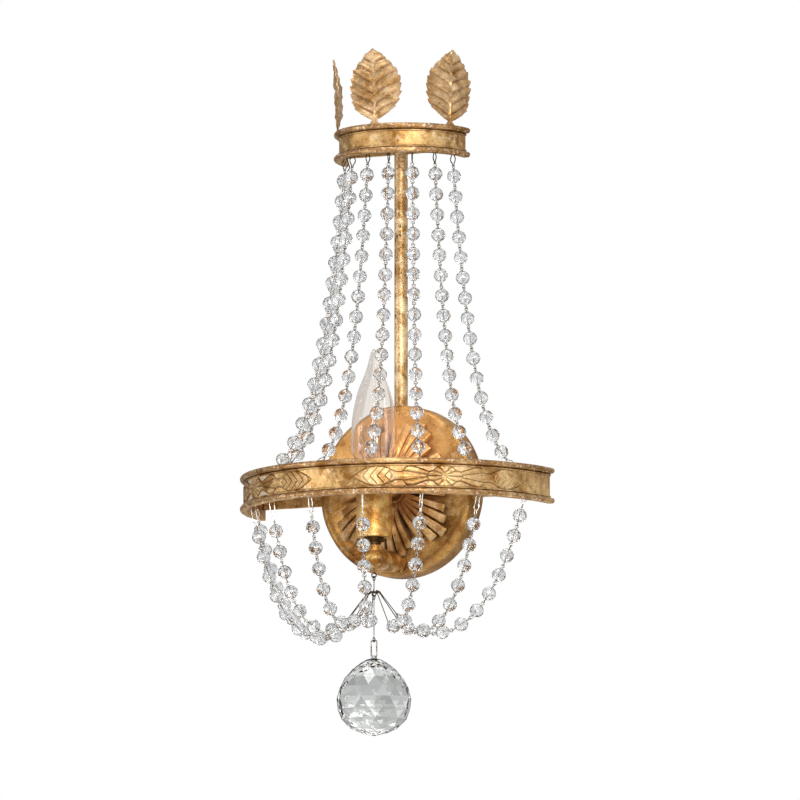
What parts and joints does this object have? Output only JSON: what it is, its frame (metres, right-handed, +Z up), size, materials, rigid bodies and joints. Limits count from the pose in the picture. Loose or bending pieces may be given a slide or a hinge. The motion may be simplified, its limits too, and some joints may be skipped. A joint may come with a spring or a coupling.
{
  "type": "crystal bead wall sconce",
  "caption": "Gilt wall sconce: a leafed half-round crown and a wide half-round ring joined by crystal bead strands round a candle light, with a crystal ball pendant.",
  "frame": {"origin": "centre of the backplate on the wall plane, midway between the two wall slots", "axes": "+Z up, the wall is the plane Y = 0 and the sconce stands out from it along -Y, +X to the right of someone facing the wall"},
  "size_m": [0.234, 0.118, 0.4859],
  "materials": {
    "band_gilt": "distressed antique gold leaf on steel",
    "relief_gilt": "distressed antique gold leaf with brown recesses",
    "stem_gilt": "distressed antique gold leaf",
    "plate_gilt": "distressed antique gold leaf",
    "sleeve_gilt": "gilt card-thin metal sleeve with drips of wear",
    "zinc_steel": "zinc plated",
    "plain_brass": "bare brass",
    "green_screw": "green lacquer",
    "phenolic": "moulded, matt",
    "wire_insulation": "smooth insulation",
    "bulb_glass": "clear blown glass",
    "bulb_stem": "milky pressed glass",
    "dark_wire": "blackened wire",
    "hook_wire": "tarnished nickel wire",
    "bead_crystal": "cut and polished clear crystal",
    "ball_crystal": "cut and polished clear crystal"
  },
  "bodies": {
    "frame": {"crown_band": "band_gilt", "crown_leaves": "relief_gilt", "stem_rod": "stem_gilt", "backplate": "plate_gilt", "rosette": "relief_gilt", "cap_nut": "plate_gilt", "mounting_strap": "zinc_steel", "strap_nipple": "plain_brass", "lock_nuts": "plain_brass", "ground_screw": "green_screw", "arm_tube": "stem_gilt", "elbow": "stem_gilt", "neck_nipple": "plain_brass", "candle_sleeve": "sleeve_gilt", "socket_body": "phenolic", "socket_shell": "plain_brass", "socket_contact": "plain_brass", "lead_wires": "wire_insulation", "ring_band": "band_gilt", "garlands": "relief_gilt", "screw_eye": "dark_wire", "hub_hanger": "dark_wire"},
    "bulb": {"bulb_glass": "bulb_glass", "bulb_base": "plain_brass", "bulb_mount": "bulb_stem"},
    "upper_strand_1": {"upper_beads_1": "bead_crystal", "upper_wires_1": "hook_wire"},
    "upper_strand_2": {"upper_beads_2": "bead_crystal", "upper_wires_2": "hook_wire"},
    "upper_strand_3": {"upper_beads_3": "bead_crystal", "upper_wires_3": "hook_wire"},
    "upper_strand_4": {"upper_beads_4": "bead_crystal", "upper_wires_4": "hook_wire"},
    "upper_strand_5": {"upper_beads_5": "bead_crystal", "upper_wires_5": "hook_wire"},
    "upper_strand_6": {"upper_beads_6": "bead_crystal", "upper_wires_6": "hook_wire"},
    "upper_strand_7": {"upper_beads_7": "bead_crystal", "upper_wires_7": "hook_wire"},
    "upper_strand_8": {"upper_beads_8": "bead_crystal", "upper_wires_8": "hook_wire"},
    "lower_strand_1": {"lower_beads_1": "bead_crystal", "lower_wires_1": "hook_wire"},
    "lower_strand_2": {"lower_beads_2": "bead_crystal", "lower_wires_2": "hook_wire"},
    "lower_strand_3": {"lower_beads_3": "bead_crystal", "lower_wires_3": "hook_wire"},
    "lower_strand_4": {"lower_beads_4": "bead_crystal", "lower_wires_4": "hook_wire"},
    "lower_strand_5": {"lower_beads_5": "bead_crystal", "lower_wires_5": "hook_wire"},
    "lower_strand_6": {"lower_beads_6": "bead_crystal", "lower_wires_6": "hook_wire"},
    "lower_strand_7": {"lower_beads_7": "bead_crystal", "lower_wires_7": "hook_wire"},
    "lower_strand_8": {"lower_beads_8": "bead_crystal", "lower_wires_8": "hook_wire"},
    "pendant_wire": {"pendant_wire": "hook_wire"},
    "pendant_clip": {"pendant_clip": "hook_wire"},
    "crystal_ball": {"crystal_ball": "ball_crystal"}
  },
  "joints": [
    {"name": "bulb_out", "type": "slide", "parent": "frame", "child": "bulb", "axis": [0, 0, 1], "range_m": [0, 0.017]},
    {"name": "upper_swing_1", "type": "hinge", "parent": "frame", "child": "upper_strand_1", "pos_m": [-0.0419, -0.01067, 0.238], "axis": [-0.2677, -0.0618, -0.9615], "range_deg": [-8, 8]},
    {"name": "upper_swing_2", "type": "hinge", "parent": "frame", "child": "upper_strand_2", "pos_m": [-0.03522, -0.02566, 0.238], "axis": [-0.225, -0.1576, -0.9615], "range_deg": [-8, 8]},
    {"name": "upper_swing_3", "type": "hinge", "parent": "frame", "child": "upper_strand_3", "pos_m": [-0.02342, -0.03706, 0.238], "axis": [-0.1496, -0.2304, -0.9615], "range_deg": [-8, 8]},
    {"name": "upper_swing_4", "type": "hinge", "parent": "frame", "child": "upper_strand_4", "pos_m": [-0.00821, -0.04321, 0.238], "axis": [-0.0524, -0.2697, -0.9615], "range_deg": [-8, 2]},
    {"name": "upper_swing_5", "type": "hinge", "parent": "frame", "child": "upper_strand_5", "pos_m": [0.00821, -0.04321, 0.238], "axis": [0.0524, -0.2697, -0.9615], "range_deg": [-2, 8]},
    {"name": "upper_swing_6", "type": "hinge", "parent": "frame", "child": "upper_strand_6", "pos_m": [0.02342, -0.03706, 0.238], "axis": [0.1496, -0.2304, -0.9615], "range_deg": [-8, 8]},
    {"name": "upper_swing_7", "type": "hinge", "parent": "frame", "child": "upper_strand_7", "pos_m": [0.03522, -0.02566, 0.238], "axis": [0.225, -0.1576, -0.9615], "range_deg": [-8, 8]},
    {"name": "upper_swing_8", "type": "hinge", "parent": "frame", "child": "upper_strand_8", "pos_m": [0.0419, -0.01067, 0.238], "axis": [0.2677, -0.0618, -0.9615], "range_deg": [-8, 8]},
    {"name": "lower_swing_1", "type": "hinge", "parent": "frame", "child": "lower_strand_1", "pos_m": [-0.10621, -0.02552, -0.009], "axis": [0.8249, -0.1901, -0.5324], "range_deg": [-3.5, 8]},
    {"name": "lower_swing_2", "type": "hinge", "parent": "frame", "child": "lower_strand_2", "pos_m": [-0.08929, -0.06352, -0.009], "axis": [0.7852, 0.1189, -0.6078], "range_deg": [-4, 3.5]},
    {"name": "lower_swing_3", "type": "hinge", "parent": "frame", "child": "lower_strand_3", "pos_m": [-0.05937, -0.09241, -0.009], "axis": [0.5874, 0.4197, -0.6919], "range_deg": [-8, 4]},
    {"name": "lower_swing_4", "type": "hinge", "parent": "frame", "child": "lower_strand_4", "pos_m": [-0.0208, -0.108, -0.009], "axis": [0.2217, 0.6183, -0.754], "range_deg": [-2.5, 8]},
    {"name": "lower_swing_5", "type": "hinge", "parent": "frame", "child": "lower_strand_5", "pos_m": [0.0208, -0.108, -0.009], "axis": [-0.2217, 0.6183, -0.754], "range_deg": [-8, 2.5]},
    {"name": "lower_swing_6", "type": "hinge", "parent": "frame", "child": "lower_strand_6", "pos_m": [0.05937, -0.09241, -0.009], "axis": [-0.5874, 0.4197, -0.6919], "range_deg": [-4, 8]},
    {"name": "lower_swing_7", "type": "hinge", "parent": "frame", "child": "lower_strand_7", "pos_m": [0.08929, -0.06352, -0.009], "axis": [-0.7852, 0.1189, -0.6078], "range_deg": [-3.5, 4]},
    {"name": "lower_swing_8", "type": "hinge", "parent": "frame", "child": "lower_strand_8", "pos_m": [0.10621, -0.02552, -0.009], "axis": [-0.8249, -0.1901, -0.5324], "range_deg": [-8, 3.5]},
    {"name": "pendant_sway", "type": "hinge", "parent": "frame", "child": "pendant_wire", "pos_m": [0, -0.05, -0.0779], "axis": [1, 0, 0], "range_deg": [-8, 8]},
    {"name": "clip_sway", "type": "hinge", "parent": "pendant_wire", "child": "pendant_clip", "pos_m": [0, -0.05, -0.1099], "axis": [0, 1, 0], "range_deg": [-20, 20]},
    {"name": "ball_sway", "type": "hinge", "parent": "pendant_clip", "child": "crystal_ball", "pos_m": [0, -0.05, -0.12035], "axis": [1, 0, 0], "range_deg": [-20, 20]}
  ]
}
